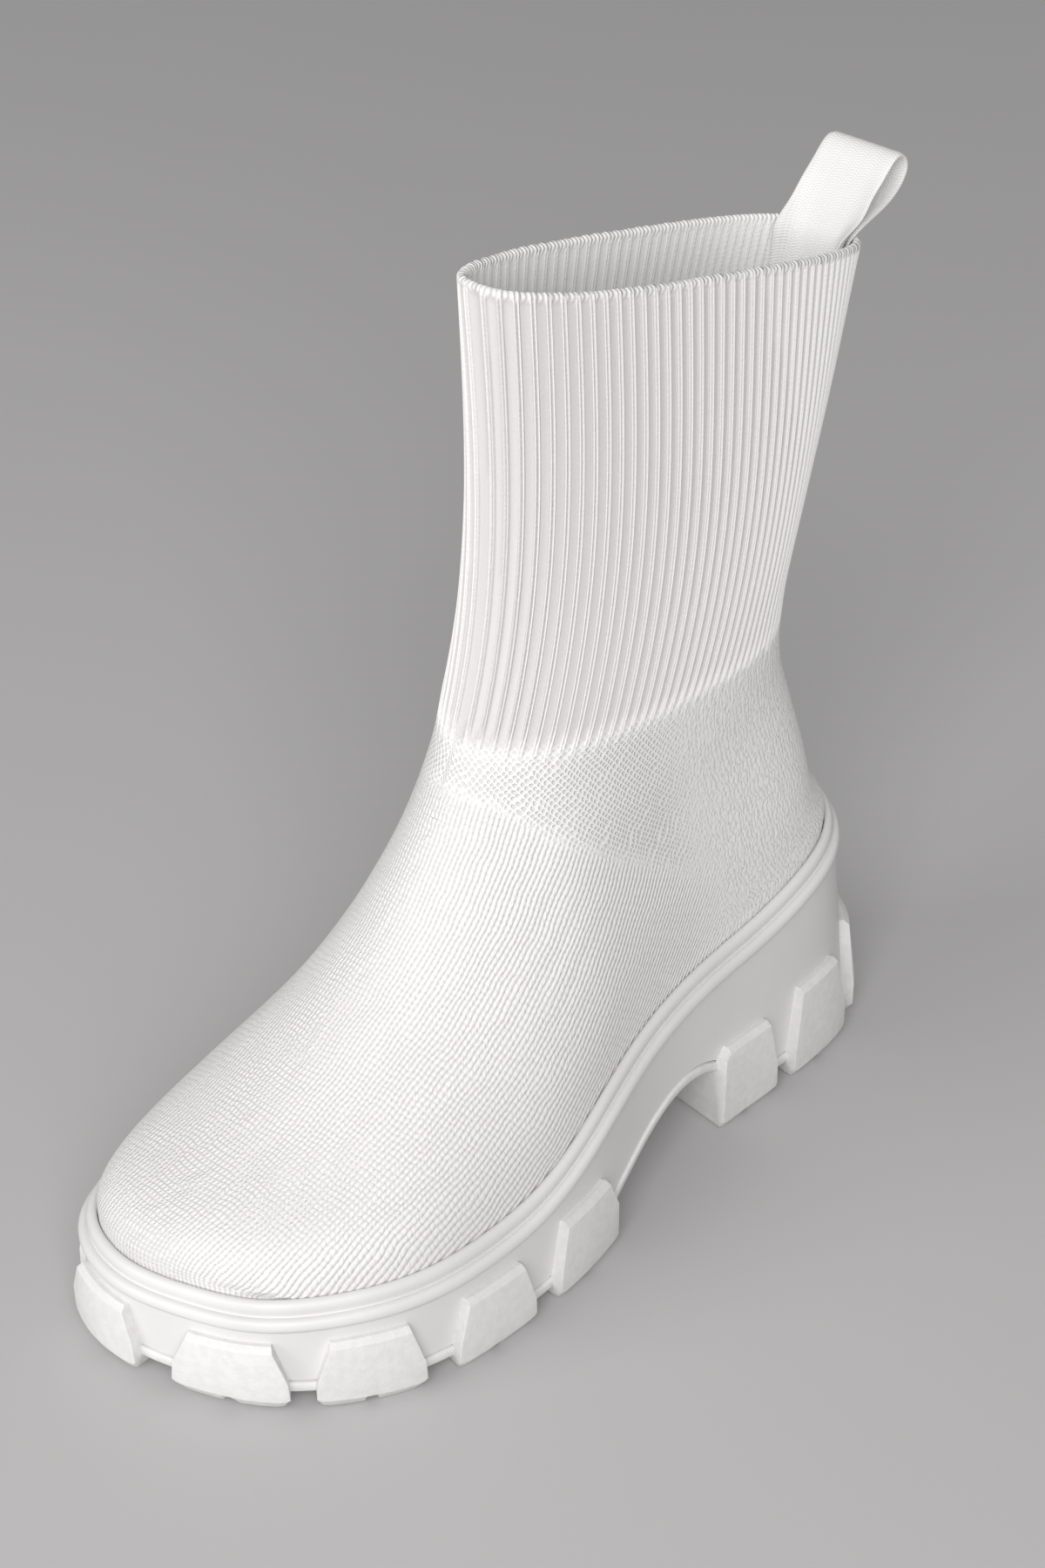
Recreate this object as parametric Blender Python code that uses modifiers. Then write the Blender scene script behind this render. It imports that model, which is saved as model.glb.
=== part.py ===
"""Knitted sock boot, left foot, on a chunky lugged sole.

The boot stands on its lugs. Tables are in millimetres, in the boot's own
directions: side (outer side of the foot positive), station (from the front of
the toe lugs back to the heel) and height above the floor. The function
placed() turns them into metres: X is side, Y is station, Z is height.
"""
import math

import bmesh
import bpy
import numpy as np

MM = 0.001

# Driving sizes, in millimetres.
SOLE_LENGTH = 280.0
LUG_REACH = 4.0
FIT_GAP = 0.3
KNIT_WALL = 2.0
WELT_WIDTH = 4.0
WELT_HEIGHT = 8.0
WELT_SEAT = 6.0
INSOLE_THICK = 3.0
PLATE_THICK = 3.0
PLATE_LIP = 0.8
LUG_TOP_SHARE = 0.72
LUG_INNER_SHARE = 0.62
NOTCH_HEIGHT = 3.0
NOTCH_SHARE = 0.1
HEEL_FLARE = 9.0
HEEL_FLARE_START = 215.0
HEEL_NARROWING = 0.05
STRAP_WIDTH = 24.0
STRAP_THICK = 1.4
STRAP_TAIL_ROWS = 5
STRAP_SLACK = 0.8
STRAP_CURL = 0.92

# The middle of the whole boot's box, which becomes X 0, Y 0.
SIDE_ORIGIN = -1.5
STATION_ORIGIN = 140.7

# Points along each side of every ring of the boot.
SIDE_POINTS = 28

# Steps in a line that other lines are measured from, fine rows up the knit, and how
# often each of those rows is evened with its neighbours.
FINE_STEPS = 300
FINE_ROWS = 78
EVEN_ROUNDS = 4

# The side wall's outline at its foot, from the toe tip round the outer side.
WALL_OUTLINE = (
    # name, side, station
    ("toe_tip", -15.0, 3.5),
    ("toe_outer", 5.5, 7.6),
    ("toe_outer_corner", 21.5, 14.8),
    ("ball_outer_front", 39.5, 34.5),
    ("ball_outer_middle", 48.0, 53.0),
    ("ball_outer", 51.0, 82.0),
    ("ball_outer_back", 49.0, 111.0),
    ("waist_outer", 39.5, 150.0),
    ("heel_outer_front", 34.5, 190.0),
    ("heel_outer", 33.5, 228.0),
    ("heel_outer_corner", 24.0, 258.0),
    ("heel_back", 0.0, 271.0),
    ("heel_inner_corner", -24.0, 258.0),
    ("heel_inner", -33.5, 228.0),
    ("heel_inner_front", -34.0, 190.0),
    ("waist_inner", -36.5, 150.0),
    ("ball_inner_back", -47.0, 112.0),
    ("ball_inner", -54.0, 74.0),
    ("toe_inner", -51.5, 42.0),
    ("toe_inner_corner", -39.5, 12.5),
)

# Side view of the sole. Feather is the welt's top, where the knit comes out.
SOLE_PROFILE = (
    # station, feather height, wall foot height
    (0.0, 34.0, 11.0),
    (30.0, 34.5, 9.0),
    (73.0, 35.5, 8.0),
    (94.0, 37.5, 8.0),
    (112.0, 42.5, 9.0),
    (130.0, 48.5, 14.0),
    (148.0, 53.5, 22.0),
    (170.0, 58.0, 28.5),
    (188.0, 60.5, 23.5),
    (205.0, 63.0, 12.0),
    (225.0, 68.0, 9.5),
    (250.0, 73.5, 9.5),
    (280.0, 77.0, 9.5),
)

# Lugs round the sole. Along is the way from the toe tip along that side.
LUGS = (
    # name, side sign, along, foot width, top height, depth under the sole
    ("front_inner", -1, 7.0, 29.0, 23.0, 18.0),
    ("toe_inner", -1, 49.0, 29.0, 23.0, 20.0),
    ("ball_inner", -1, 89.0, 29.0, 22.5, 26.0),
    ("waist_inner", -1, 129.0, 28.0, 25.0, 26.0),
    ("heel_front_inner", -1, 216.0, 25.0, 28.0, 26.0),
    ("heel_inner", -1, 250.0, 28.0, 31.0, 24.0),
    ("heel_back_inner", -1, 287.0, 27.0, 33.0, 13.0),
    ("front_outer", 1, 34.0, 31.0, 22.5, 18.0),
    ("toe_outer", 1, 70.5, 29.0, 22.5, 22.0),
    ("ball_outer", 1, 108.5, 28.0, 22.5, 26.0),
    ("waist_outer", 1, 147.0, 29.0, 25.0, 26.0),
    ("heel_front_outer", 1, 233.0, 25.0, 28.0, 26.0),
    ("heel_outer", 1, 267.5, 28.0, 31.0, 24.0),
    ("heel_back_outer", 1, 304.0, 27.0, 33.0, 13.0),
)

TOE_SPRING = 2.5
TOE_SPRING_END = 60.0

# Rings of the knit upper, from the sole up to the collar. Body is the plan of the
# foot or leg at that ring. Its front closes as the vamp's arch and as an oval.
KNIT_RINGS = (
    # front station, front height, back station, back height, ridge side,
    # outer half width, inner half width, middle side, widest station,
    # front bluntness, back bluntness, sole share, arch share
    (8.3, 28.4, 259.7, 69.0, -15.0, 0.0, 0.0, 0.0, 0.0, 0.0, 0.0, 1.0, 0.0),
    (8.3, 33.6, 259.7, 74.0, -15.0, 0.0, 0.0, 0.0, 0.0, 0.0, 0.0, 1.0, 0.0),
    (8.3, 38.0, 259.7, 78.0, -15.0, 0.0, 0.0, 0.0, 0.0, 0.0, 0.0, 1.0, 0.0),
    (11.4, 44.6, 252.5, 85.6, -13.0, 42.0, 38.0, -3.0, 90.0, 2.0, 2.5, 1.0, 1.0),
    (21.0, 50.0, 248.7, 94.8, -10.5, 37.0, 31.5, -4.0, 115.0, 2.0, 2.5, 0.96, 1.0),
    (36.0, 56.6, 246.1, 104.8, -8.5, 33.0, 28.0, -5.0, 140.0, 2.0, 2.5, 0.88, 1.0),
    (54.1, 66.4, 243.1, 114.2, -7.0, 31.0, 27.0, -5.0, 158.0, 2.0, 2.5, 0.76, 1.0),
    (72.6, 79.2, 239.8, 124.4, -6.0, 30.0, 28.0, -4.5, 170.0, 2.0, 2.5, 0.6, 0.95),
    (88.9, 93.6, 236.4, 134.3, -5.0, 29.5, 28.5, -3.5, 177.0, 2.0, 2.5, 0.42, 0.85),
    (100.8, 109.1, 234.4, 145.9, -4.0, 29.0, 28.5, -2.0, 182.0, 2.0, 2.5, 0.26, 0.7),
    (110.3, 126.1, 235.3, 159.2, -3.0, 28.5, 28.0, -1.0, 186.0, 2.0, 2.5, 0.12, 0.5),
    (118.7, 146.1, 239.3, 173.2, -2.0, 28.0, 28.0, 0.0, 188.0, 2.1, 2.5, 0.04, 0.3),
    (125.3, 172.7, 246.0, 189.7, -1.0, 27.0, 27.0, 0.0, 190.0, 2.2, 2.6, 0.0, 0.1),
    (127.8, 204.0, 253.0, 207.3, 0.0, 25.0, 25.0, 0.0, 192.0, 2.3, 2.8, 0.0, 0.0),
    (127.4, 239.0, 258.9, 226.3, 0.0, 22.5, 22.5, 0.0, 194.0, 2.4, 3.2, 0.0, 0.0),
    (124.6, 275.0, 265.2, 245.6, 0.0, 20.0, 20.0, 0.0, 196.0, 2.5, 3.6, 0.0, 0.0),
)
SOLE_RINGS = 3
RING_EVENNESS = 0.5
SAG_POWER = 3

# Rows of the mesh from each ring to the next.
RING_STEPS = (1, 1, 2, 2, 2, 2, 2, 2, 2, 2, 2, 2, 2, 1, 1)

# Behind this station a ring's sides follow the heel, fitted to the ring's own back.
HEEL_START = 200.0

# The vamp's arch starts this far over the feather line. Behind the shaft's front
# the ridge is carried on, ever steeper, so that the arch opens into the leg.
ARCH_FOOT = 4.0
SHAFT_FRONT = 122.5
RIDGE_SLOPE = 4.5
RIDGE_BEND = 0.45

# Roundness of the vamp's section: 2 is an oval, more is boxier.
ARCH_POWER = (
    # station, power of the outer side, power of the inner side
    (20.0, 2.3, 2.25),
    (60.0, 2.1, 1.9),
    (100.0, 1.8, 1.75),
    (130.0, 1.7, 1.7),
)

# Section of the welt, from its inner foot round the outside: two ribs and a groove.
WELT_SECTION = (
    # outward offset, height over the welt's foot
    (-WELT_WIDTH, FIT_GAP),
    (0.6, FIT_GAP),
    (1.2, 1.2),
    (1.0, 3.0),
    (-0.2, 3.9),
    (-1.3, 3.7),
    (-1.6, 5.0),
    (-1.8, 7.2),
    (-2.6, 8.0),
    (-WELT_WIDTH, WELT_HEIGHT - 0.4),
)

# The pull loop seen from the side, from the collar's inner back edge round.
LOOP_PATH = (
    # station behind the collar edge, height over it, share of the collar's curve
    (2.0, 3.0, 0.85),
    (7.0, 5.4, 0.55),
    (13.0, 8.2, 0.3),
    (17.6, 12.2, 0.16),
    (19.3, 16.4, 0.1),
    (18.2, 19.4, 0.1),
    (15.8, 20.4, 0.1),
    (13.2, 19.4, 0.1),
    (9.4, 15.6, 0.16),
    (5.4, 10.8, 0.4),
    (1.8, 5.6, 0.7),
)


def spline(knots, values, closed=False):
    """A smooth curve through the rows of values, with steady curvature."""
    knots = np.asarray(knots, float)
    values = np.asarray(values, float).reshape(len(knots), -1)
    gap = np.diff(knots)
    slope = np.diff(values, axis=0) / gap[:, None]
    last = len(knots) - 1
    system = np.eye(last + 1)
    pull = np.zeros_like(values)
    for i in range(1, last):
        system[i, i - 1 : i + 2] = gap[i - 1], 2 * (gap[i - 1] + gap[i]), gap[i]
        pull[i] = 6 * (slope[i] - slope[i - 1])
    if closed:
        system[0, last] = -1
        system[last] = 0
        system[last, [0, 1, last - 1]] = 2 * (gap[-1] + gap[0]), gap[0], gap[-1]
        pull[last] = 6 * (slope[0] - slope[-1])
    bend = np.linalg.solve(system, pull)

    def at(where):
        where = np.atleast_1d(np.asarray(where, float))
        i = np.clip(np.searchsorted(knots, where, side="right") - 1, 0, last - 1)
        h = gap[i][:, None]
        a = (knots[i + 1] - where)[:, None] / h
        b = 1 - a
        return (
            a * values[i]
            + b * values[i + 1]
            + ((a**3 - a) * bend[i] + (b**3 - b) * bend[i + 1]) * h * h / 6
        )

    return at


def ramp(value, start, end):
    """0 before start, 1 after end, and smooth between them."""
    t = np.clip((value - start) / (end - start), 0, 1)
    return t * t * (3 - 2 * t)


def way_along(points):
    """The distance from the first point to each point, along the line."""
    steps = np.linalg.norm(np.diff(points, axis=0), axis=1)
    return np.concatenate([[0], np.cumsum(steps)])


def evenly(points, count):
    """The same line with its points spaced evenly, in count steps."""
    way = way_along(points)
    wanted = np.linspace(0, way[-1], count + 1)
    return np.column_stack([np.interp(wanted, way, column) for column in points.T])


def dense_sides():
    """The wall's outline as two fine lines from toe tip to heel back: outer, inner."""
    table = np.array([row[1:] for row in WALL_OUTLINE + WALL_OUTLINE[:1]])
    knots = way_along(table)
    curve = spline(knots, table, closed=True)
    names = [row[0] for row in WALL_OUTLINE]
    back = knots[names.index("heel_back")]
    outer = curve(np.linspace(0, back, FINE_STEPS))
    inner = curve(np.linspace(knots[-1], back, FINE_STEPS))
    return outer, inner


def outward(loop):
    """Unit normals of a closed loop that runs from the toe round the outer side."""
    along = np.roll(loop, -1, axis=0) - np.roll(loop, 1, axis=0)
    along /= np.linalg.norm(along, axis=1)[:, None]
    return np.column_stack([along[:, 1], -along[:, 0]])


def drawn_in(points, rise):
    """Sole points moved in as the wall rises, because the heel is flared."""
    side, station = points.T
    flare = rise * ramp(station, HEEL_FLARE_START, SOLE_LENGTH)
    return np.column_stack([side * (1 - HEEL_NARROWING * flare), station - HEEL_FLARE * flare])


def paired(outer, inner, count):
    """A loop whose outer and inner points lie at the same stations."""
    outer = evenly(outer, count)
    across = np.interp(outer[:, 1], inner[:, 1], inner[:, 0])
    inner = np.column_stack([across, outer[:, 1]])
    return np.vstack([outer, inner[-2:0:-1]])


def wall_loop(count, offset=0.0, rise=0.0):
    """The wall's outline at a share of its rise, moved outward by offset.

    Points 0 and count are the toe tip and the heel back."""
    loop = paired(*dense_sides(), count)
    return drawn_in(loop + outward(loop) * offset, rise)


PROFILE_STATIONS = [row[0] for row in SOLE_PROFILE]
feather_height = spline(PROFILE_STATIONS, [row[1] for row in SOLE_PROFILE])
foot_height = spline(PROFILE_STATIONS, [row[2] for row in SOLE_PROFILE])
FEATHER_FRONT = float(feather_height(KNIT_RINGS[0][0])[0, 0])


def toe_lift(station):
    """How far the toe end of the tread stands off the floor."""
    return TOE_SPRING * (1 - ramp(np.asarray(station), 0, TOE_SPRING_END)) ** 1.5


def placed(side, station, height):
    """A point of the tables, in metres in the boot's frame."""
    return (
        (side - SIDE_ORIGIN) * MM,
        (station - STATION_ORIGIN) * MM,
        height * MM,
    )


def raised(loop, height):
    """A loop of side and station, with the height of each station, placed."""
    heights = height(loop[:, 1])
    return [placed(x, s, h) for (x, s), h in zip(loop, np.ravel(heights))]


def cap_faces(first, count, size):
    """Faces that close a loop by strips from its outer side to its inner side."""
    faces = [(first, first + 1, first + size - 1)]
    for i in range(1, count - 1):
        faces.append(
            (first + i, first + i + 1, first + size - i - 1, first + size - i)
        )
    faces.append((first + count - 1, first + count, first + count + 1))
    return faces


def ring_faces(rows, size, closed_rows=False):
    """Quads that join each loop to the next."""
    faces = []
    for row in range(rows if closed_rows else rows - 1):
        this = row * size
        above = (row + 1) % rows * size
        for i in range(size):
            j = (i + 1) % size
            faces.append((this + i, this + j, above + j, above + i))
    return faces


def mesh_object(name, points, faces, collection, closed=True):
    """An object shaded smooth on its soft edges. A closed one is turned to face out."""
    mesh = bpy.data.meshes.new(name)
    shape = bmesh.new()
    corners = [shape.verts.new(point) for point in points]
    for face in faces:
        shape.faces.new([corners[i] for i in face])
    if closed:
        bmesh.ops.recalc_face_normals(shape, faces=shape.faces)
    shape.to_mesh(mesh)
    shape.free()
    obj = bpy.data.objects.new(name, mesh)
    collection.objects.link(obj)
    mesh.shade_smooth()
    mesh.set_sharp_from_angle(angle=math.radians(35))
    return obj


def slab(name, loops, count, collection):
    """A closed solid through loops from bottom to top, capped at both ends."""
    size = len(loops[0])
    points = [point for loop in loops for point in loop]
    faces = ring_faces(len(loops), size)
    faces += cap_faces(0, count, size)
    faces += cap_faces((len(loops) - 1) * size, count, size)
    return mesh_object(name, points, faces, collection)


def make_material(name, color, roughness):
    material = bpy.data.materials.new(name)
    material.use_nodes = True
    shader = material.node_tree.nodes["Principled BSDF"]
    shader.inputs["Base Color"].default_value = (*color, 1)
    shader.inputs["Roughness"].default_value = roughness
    shader.inputs["Metallic"].default_value = 0
    return material


def midsole_top(station):
    return feather_height(station) - WELT_SEAT


def rim_foot(station):
    return feather_height(station) - WELT_HEIGHT


def make_midsole(collection):
    """The smooth platform: flared at the heel, cut away under the arch."""
    count = SIDE_POINTS
    loops = []
    loops.append(raised(wall_loop(count), foot_height))
    loops.append(raised(wall_loop(count, rise=1.0), rim_foot))
    seat = -WELT_WIDTH - FIT_GAP
    loops.append(raised(wall_loop(count, seat, 1.0), rim_foot))
    loops.append(raised(wall_loop(count, seat - FIT_GAP, 1.0), midsole_top))
    return slab("midsole", loops, count, collection)


def make_welt(collection):
    """The strip round the top of the sole, with two ribs and a groove."""
    count = SIDE_POINTS
    loops = []
    for offset, lift in WELT_SECTION:
        loops.append(
            raised(
                wall_loop(count, offset, 1.0),
                lambda station, lift=lift: rim_foot(station) + lift,
            )
        )
    size = len(loops[0])
    points = [point for loop in loops for point in loop]
    faces = ring_faces(len(loops), size, closed_rows=True)
    return mesh_object("welt", points, faces, collection)


def ridge_line():
    """Station and height of the boot's front line, up to the shaft and past it."""
    front = np.array([row[:2] for row in KNIT_RINGS[SOLE_RINGS - 1 :]])
    way = way_along(front)
    line = spline(way, front)(np.linspace(0, way[-1], 2 * FINE_STEPS))
    line = line[: np.argmax(line[:, 0] > SHAFT_FRONT)]
    behind = np.arange(1.0, SOLE_LENGTH - SHAFT_FRONT)
    over = behind * (RIDGE_SLOPE + RIDGE_BEND * behind)
    return np.vstack([line, line[-1] + np.column_stack([behind, over])])


def closed_end(share, power):
    """1 where a shape is fully open, falling to 0 at its end like an oval."""
    return (1 - np.clip(share, 0, 1) ** power) ** (1 / power)


def arch(station, height, ridge, side):
    """How wide a side of the vamp is, from 1 over the sole to 0 on the ridge."""
    foot = np.ravel(feather_height(station)) + ARCH_FOOT
    top = np.interp(station, *ridge.T)
    stations, *powers = np.array(ARCH_POWER).T
    power = np.interp(station, stations, powers[side])
    return closed_end((height - foot) / np.maximum(top - foot, 1e-6), power)


def ring_height(row, station):
    """A ring's height: a straight line, but low rings sag to follow the sole."""
    front, low, back, high = row[:4]
    share = (station - front) / (back - front)
    start, end = np.ravel(feather_height([front, back]))
    sag = np.ravel(feather_height(station)) - start - share * (end - start)
    return low + share * (high - low) + sag * row[11] ** SAG_POWER


def sole_sides(station, back):
    """The wall's outer and inner side at some stations, its heel fitted to a ring's back."""
    base = wall_loop(FINE_STEPS, -WELT_WIDTH - FIT_GAP, 1.0)
    outer = base[: FINE_STEPS + 1]
    inner = np.vstack([base[:1], base[: FINE_STEPS - 1 : -1]])
    stretch = (outer[-1, 1] - HEEL_START) / (back - HEEL_START)
    behind = np.maximum(station - HEEL_START, 0)
    on_wall = station + behind * (stretch - 1)
    return [np.interp(on_wall, side[:, 1], side[:, 0]) for side in (outer, inner)]


def knit_ring(row, count, ridge):
    """Side and station of one row of the ring table."""
    front, _, back, _, crest, outer, inner, middle, widest, *shape = row
    blunt_front, blunt_back, sole_share, arch_share = shape
    share = (1 - np.cos(np.linspace(0, math.pi, FINE_STEPS))) / 2
    station = front + share * (back - front)
    rear = closed_end((station - widest) / (back - widest), blunt_back)
    oval = closed_end((widest - station) / (widest - front), blunt_front)
    height = ring_height(row, station)
    halves = []
    for side, width in enumerate((outer, -inner)):
        vamp = arch(station, height, ridge, side)
        closing = vamp**arch_share * oval ** (1 - arch_share)
        foot = sole_sides(station, back)[side]
        body = sole_share * foot + (1 - sole_share) * (middle + width * rear)
        halves.append(np.column_stack([crest + (body - crest) * closing, station]))
    return paired(*halves, count)


def row_places(knots):
    """Where the mesh's rows lie between the rings of the table."""
    gaps = zip(knots, knots[1:], RING_STEPS)
    places = [np.linspace(low, high, steps, endpoint=False) for low, high, steps in gaps]
    return np.append(np.concatenate(places), knots[-1])


def knit_surface(count, fine=False):
    """The upper's outer surface as rows of rings, from the sole to the collar."""
    ridge = ridge_line()
    rings = []
    for number, row in enumerate(KNIT_RINGS):
        if number < SOLE_RINGS:
            flat = wall_loop(count, -WELT_WIDTH - FIT_GAP, 1.0)
            height = np.ravel(feather_height(flat[:, 1])) + row[1] - FEATHER_FRONT
        else:
            flat = knit_ring(row, count, ridge)
            height = ring_height(row, flat[:, 1])
        rings.append(np.column_stack([flat, height]))
    rings = np.array(rings)
    way = way_along(rings[:, 0])
    even = np.linspace(0, 1, len(rings))
    knots = (1 - RING_EVENNESS) * way / way[-1] + RING_EVENNESS * even
    places = np.linspace(0, 1, FINE_ROWS)
    rows = spline(knots, rings.reshape(len(rings), -1))(places)
    hold = ramp(places, knots[SOLE_RINGS - 1], knots[SOLE_RINGS])[1:-1, None]
    for _ in range(EVEN_ROUNDS):
        rows[1:-1] += hold * ((rows[:-2] + rows[2:]) / 4 - rows[1:-1] / 2)
    if not fine:
        rows = spline(places, rows)(row_places(knots))
    return rows.reshape(len(rows), 2 * count, 3)


def make_upper(collection):
    """The knit sock: one wall, open at the collar and under the foot."""
    surface = knit_surface(SIDE_POINTS)
    points = [placed(*point) for ring in surface for point in ring]
    faces = ring_faces(len(surface), 2 * SIDE_POINTS)
    upper = mesh_object("upper", points, faces, collection, closed=False)
    wall = upper.modifiers.new("wall", "SOLIDIFY")
    wall.thickness = KNIT_WALL * MM
    wall.offset = -1
    wall.use_even_offset = True
    return upper


def make_insole(collection):
    """The footbed that closes the boot inside, on top of the midsole."""
    count = SIDE_POINTS
    inset = WELT_WIDTH + KNIT_WALL + 4 * FIT_GAP
    loops = []
    for lift in (FIT_GAP, FIT_GAP + INSOLE_THICK):
        loops.append(
            raised(
                wall_loop(count, -inset, 1.0),
                lambda station, lift=lift: midsole_top(station) + lift,
            )
        )
    return slab("insole", loops, count, collection)


# Section of a lug, from the sheet's edge out, down, under the sole and back up.
LUG_SECTION = (
    # outward offset, share of foot width, height is measured from, height over it
    (-PLATE_LIP, 1.0, "foot", -FIT_GAP - PLATE_THICK / 2),
    (FIT_GAP, 0.98, "foot", -FIT_GAP / 2),
    (FIT_GAP, LUG_TOP_SHARE, "top", 0.0),
    (1.6, LUG_TOP_SHARE, "top", 0.3),
    (3.2, LUG_TOP_SHARE + 0.02, "top", -1.2),
    (LUG_REACH, 0.97, "foot", 2.0),
    (LUG_REACH - 0.2, 1.0, "floor", 3.5),
    (LUG_REACH - 2.6, 0.96, "floor", 0.0),
    (None, LUG_INNER_SHARE, "floor", 0.0),
    (None, LUG_INNER_SHARE, "foot", -FIT_GAP - PLATE_THICK / 2),
)

# Where a lug's sections stand, as shares of half its width.
LUG_COLUMNS = (-1.0, -0.55, -0.14, -0.05, 0.05, 0.14, 0.55, 1.0)

# The faces that close a lug's end, as corners of its section.
LUG_END = ((2, 3, 4), (1, 2, 4, 5), (0, 1, 5, 6), (0, 6, 7), (0, 7, 8, 9))


class SoleEdge:
    """The wall's foot as one line of distance from the toe tip, both ways."""

    def __init__(self):
        outer, inner = dense_sides()
        self.line = np.vstack([inner[:0:-1], outer])
        way = way_along(self.line)
        self.way = way - way_along(inner)[-1]
        self.round = way[-1]

    def spot(self, along):
        """The point at a distance, and the outward direction there."""
        along = (along - self.way[0]) % self.round + self.way[0]
        near = [np.interp(along + step, self.way, c) for step in (-1, 1) for c in self.line.T]
        middle = np.array([np.interp(along, self.way, c) for c in self.line.T])
        run = np.array([near[2] - near[0], near[3] - near[1]])
        run /= np.linalg.norm(run)
        return middle, np.array([run[1], -run[0]]), run


def lug_point(edge, along, across, offset):
    """Outside, a lug follows the wall. Under the sole it runs straight in."""
    if offset > -1:
        middle, normal, _ = edge.spot(along + across)
        return middle + normal * offset
    middle, normal, run = edge.spot(along)
    return middle + normal * offset + run * across


def make_lug(edge, name, sign, along, width, top, depth, collection):
    """One lug: a block that wraps up the wall, with a notch in its foot."""
    points = []
    for column in LUG_COLUMNS:
        notch = NOTCH_HEIGHT if abs(column) < NOTCH_SHARE else 0.0
        for offset, share, base, over in LUG_SECTION:
            offset = -depth if offset is None else offset
            across = column * share * width / 2
            spot = lug_point(edge, sign * along, across, offset)
            foot = float(foot_height(spot[1])[0, 0])
            lift = float(toe_lift(spot[1]))
            z = {"foot": foot, "top": top, "floor": lift}[base] + over
            if offset > 0:
                rise = max(z - foot, 0) / (float(rim_foot(spot[1])[0, 0]) - foot)
                spot = drawn_in(spot[None], rise)[0]
            if base == "floor" and over == 0:
                z += notch
            points.append(placed(*spot, z))
    size = len(LUG_SECTION)
    faces = ring_faces(len(LUG_COLUMNS), size)
    for first in (0, (len(LUG_COLUMNS) - 1) * size):
        faces += [tuple(first + corner for corner in face) for face in LUG_END]
    lug = mesh_object(name, points, faces, collection)
    lug.hide_render = True
    lug.display_type = "WIRE"
    return lug


def make_outsole(collection, cutters):
    """The tread: a thin sheet under the platform and the lugs that grow from it."""
    count = SIDE_POINTS
    loops = []
    for drop in (FIT_GAP + PLATE_THICK, FIT_GAP):
        loops.append(
            raised(
                wall_loop(count, PLATE_LIP),
                lambda station, drop=drop: foot_height(station) - drop,
            )
        )
    outsole = slab("outsole", loops, count, collection)
    edge = SoleEdge()
    for name, *sizes in LUGS:
        make_lug(edge, "lug_" + name, *sizes, cutters)
    union = outsole.modifiers.new("lugs", "BOOLEAN")
    union.operation = "UNION"
    union.solver = "EXACT"
    union.operand_type = "COLLECTION"
    union.collection = cutters
    return outsole


def collar_arc(surface, row, depth, sides):
    """Stations and heights inside the back of the collar, at some sides."""
    ring = surface[row]
    plan = ring[:, :2] - outward(ring[:, :2]) * depth
    back = ring[:, 1] > ring[:, 1].mean()
    order = np.argsort(plan[back, 0])
    across = plan[back, 0][order]
    return np.column_stack(
        [
            np.interp(sides, across, plan[back, 1][order]),
            np.interp(sides, across, ring[back, 2][order]),
        ]
    )


def make_pull_loop(collection):
    """Folded webbing: both tails inside the back of the collar, leaning back."""
    sides = np.linspace(-STRAP_WIDTH / 2, STRAP_WIDTH / 2, 9)
    surface = knit_surface(3 * SIDE_POINTS, fine=True)
    first = KNIT_WALL + STRAP_SLACK + STRAP_THICK / 2
    second = first + STRAP_THICK + FIT_GAP
    down = [-1 - 2 * step for step in range(STRAP_TAIL_ROWS)]
    curved = sides * STRAP_CURL
    behind = [collar_arc(surface, row, first, curved) for row in down]
    ahead = [collar_arc(surface, row, second, curved) for row in down]
    rim = behind[0]
    middle = rim[len(sides) // 2]
    bow = []
    for back, up, curve in LOOP_PATH:
        bow.append(middle + (back, up) + (rim - middle) * curve)
    rows = behind[::-1] + bow + ahead
    spread = [curved] * len(behind) + [sides] * len(bow) + [curved] * len(ahead)
    points = []
    for across, row in zip(spread, rows):
        points += [placed(x, s, h) for x, (s, h) in zip(across, row)]
    size = len(sides)
    faces = []
    for row in range(len(rows) - 1):
        for i in range(size - 1):
            at = row * size + i
            faces.append((at, at + 1, at + size + 1, at + size))
    loop = mesh_object("pull_loop", points, faces, collection)
    strap = loop.modifiers.new("webbing", "SOLIDIFY")
    strap.thickness = STRAP_THICK * MM
    strap.offset = 0
    strap.use_even_offset = True
    return loop


def main():
    for obj in list(bpy.data.objects):
        bpy.data.objects.remove(obj, do_unlink=True)
    boot = bpy.data.collections.new("sock_boot")
    cutters = bpy.data.collections.new("cutters")
    for collection in (boot, cutters):
        bpy.context.scene.collection.children.link(collection)
    knit = make_material("knit_white", (0.84, 0.82, 0.79), 0.9)
    webbing = make_material("webbing_white", (0.88, 0.87, 0.84), 0.8)
    lining = make_material("footbed_white", (0.8, 0.78, 0.74), 0.9)
    foam = make_material("sole_white", (0.86, 0.85, 0.83), 0.5)
    rubber = make_material("tread_white", (0.85, 0.84, 0.82), 0.65)
    pieces = (
        (make_upper(boot), knit),
        (make_pull_loop(boot), webbing),
        (make_insole(boot), lining),
        (make_welt(boot), foam),
        (make_midsole(boot), foam),
        (make_outsole(boot, cutters), rubber),
    )
    for obj, material in pieces:
        obj.data.materials.append(material)


main()
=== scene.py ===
"""The dressed sock boot: knit upper, webbing loop, footbed, welt, platform and tread.

Tables are in millimetres, as in the part's source: side (outer side of the foot
positive), station (from the front of the toe lugs back to the heel) and height.
"""

import math

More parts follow.
